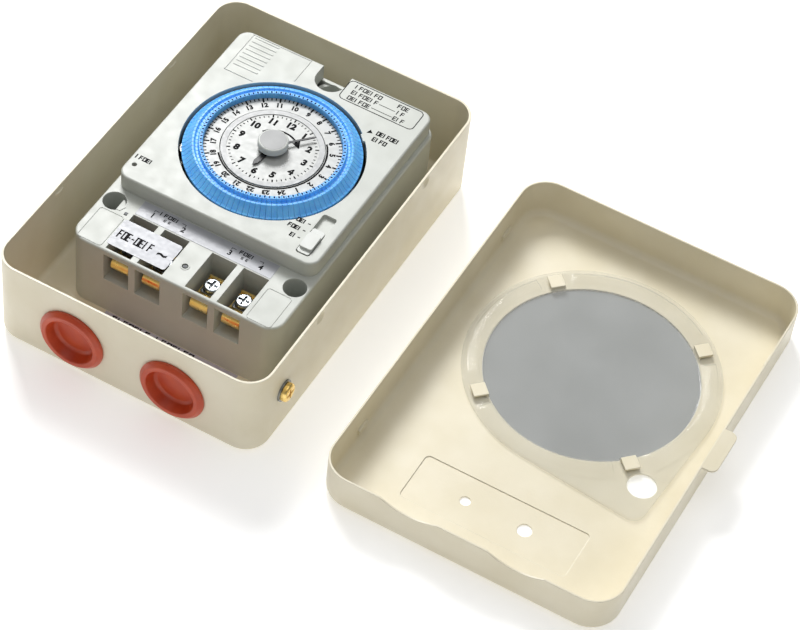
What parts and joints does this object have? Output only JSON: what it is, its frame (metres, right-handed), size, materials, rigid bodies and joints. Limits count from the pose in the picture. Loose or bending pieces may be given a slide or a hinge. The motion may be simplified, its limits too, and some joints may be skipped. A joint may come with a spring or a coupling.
{
  "type": "programmable timer",
  "caption": "Twenty-four hour programmable timer in a steel wall box, with a lift-off windowed lid lying open beside it.",
  "frame": {"origin": "centre of the wall box's back face", "axes": "+Z out of the wall towards the front of the timer, +Y up the wall away from the cable entries, +X to the right"},
  "size_m": [0.2723, 0.1768, 0.0488],
  "materials": {
    "box_paint": "satin powder coat, cream",
    "lid_paint": "satin powder coat, cream",
    "window": "clear, lightly smoked",
    "grommet_rubber": "matt moulded rubber",
    "housing_plastic": "fine satin moulding",
    "base_plastic": "matt moulding",
    "brass": "bright, lightly tarnished",
    "zinc_steel": "zinc plated",
    "label_paper": "printed film",
    "pin_blue": "bright translucent blue",
    "dial_white": "printed satin dial",
    "bezel_grey": "printed grey band",
    "hand_black": "semi-gloss black",
    "knob_white": "semi-gloss moulding",
    "gear_plastic": "natural acetal",
    "plate_steel": "rolled and plated",
    "motor_case": "drawn steel can",
    "switch_black": "moulded black",
    "plunger_red": "moulded red",
    "board_green": "solder mask",
    "lamp_red": "translucent red",
    "capacitor_sleeve": "shrink sleeve",
    "battery_wrap": "shrink wrap"
  },
  "bodies": {
    "case": {"backup_battery": "battery_wrap", "bridge_plate": "plate_steel", "cable_grommet_left": "grommet_rubber", "cable_grommet_right": "grommet_rubber", "capacitor": "capacitor_sleeve", "circuit_board": "board_green", "circuit_label": "label_paper", "clock_face": "dial_white", "earth_nut": "zinc_steel", "earth_screw": "brass", "earth_washers": "zinc_steel", "enclosure_base": "box_paint", "face_bezel": "bezel_grey", "lever_pin": "zinc_steel", "lower_plate": "plate_steel", "marking_strip": "label_paper", "module_base_plate": "base_plastic", "module_body": "housing_plastic", "module_fixing_screws": "zinc_steel", "motor_body": "motor_case", "mounting_bosses": "zinc_steel", "plate_pillars": "brass", "plate_screws": "zinc_steel", "power_lamp": "lamp_red", "selector_frame": "switch_black", "supply_label": "label_paper", "switch_bracket": "plate_steel", "terminal_plate_1": "brass", "terminal_plate_2": "brass", "terminal_plate_3": "brass", "terminal_plate_4": "brass", "terminal_screw_1": "zinc_steel", "terminal_screw_2": "zinc_steel", "terminal_screw_3": "zinc_steel", "terminal_screw_4": "zinc_steel", "terminal_washers": "zinc_steel", "trip_switch_body": "switch_black", "upper_cover": "housing_plastic"},
    "lid": {"lid_shell": "lid_paint", "window_pane": "window"},
    "dial": {"dial_plate_24h": "dial_white", "tripper_carrier": "pin_blue", "tripper_pins": "pin_blue"},
    "sample_pin": {"tripper_pin_sample": "pin_blue"},
    "hour_work": {"hour_hand": "hand_black", "hour_wheel": "gear_plastic"},
    "minute_work": {"minute_arbor": "plate_steel", "minute_hand": "hand_black", "setting_knob": "knob_white"},
    "train": {"train_wheel": "gear_plastic"},
    "motor_rotor": {"motor_pinion": "brass"},
    "selector": {"selector_slider": "knob_white"},
    "lever": {"trip_lever": "plate_steel"},
    "plunger": {"trip_switch_plunger": "plunger_red"}
  },
  "joints": [
    {"name": "lid_fit", "type": "hinge", "parent": "case", "child": "lid", "pos_m": [0.0734, 0, 0.0263], "axis": [0, -1, 0], "range_deg": [0, 180]},
    {"name": "dial_turn", "type": "hinge", "parent": "case", "child": "dial", "pos_m": [0.0015, 0.0198, 0.042], "axis": [0, 0, -1], "continuous": true},
    {"name": "pin_slide", "type": "slide", "parent": "dial", "child": "sample_pin", "axis": [0, 1, 0], "range_m": [0, 0.0009]},
    {"name": "hour_turn", "type": "hinge", "parent": "case", "child": "hour_work", "pos_m": [0.0015, 0.0198, 0.04], "axis": [0, 0, -1], "continuous": true},
    {"name": "minute_turn", "type": "hinge", "parent": "case", "child": "minute_work", "pos_m": [0.0015, 0.0198, 0.038], "axis": [0, 0, -1], "continuous": true},
    {"name": "train_turn", "type": "hinge", "parent": "case", "child": "train", "pos_m": [-0.011, 0.0198, 0.034], "axis": [0, 0, -1], "continuous": true},
    {"name": "motor_turn", "type": "hinge", "parent": "case", "child": "motor_rotor", "pos_m": [-0.023, 0.0198, 0.03], "axis": [0, 0, -1], "continuous": true},
    {"name": "selector_slide", "type": "slide", "parent": "case", "child": "selector", "axis": [0, 1, 0], "range_m": [0, 0.0081]},
    {"name": "lever_swing", "type": "hinge", "parent": "case", "child": "lever", "pos_m": [0.0378, 0.042, 0.03375], "axis": [0, 0, 1], "range_deg": [0, 3]},
    {"name": "plunger_press", "type": "slide", "parent": "case", "child": "plunger", "axis": [1, 0, 0], "range_m": [0, 0.0009]}
  ],
  "couplings": [
    {"joint": "hour_turn", "follows": "dial_turn", "ratio": 2},
    {"joint": "minute_turn", "follows": "dial_turn", "ratio": 24},
    {"joint": "train_turn", "follows": "dial_turn", "ratio": -6},
    {"joint": "motor_turn", "follows": "dial_turn", "ratio": 30},
    {"joint": "plunger_press", "follows": "lever_swing", "m_per_rad": 0.016}
  ]
}
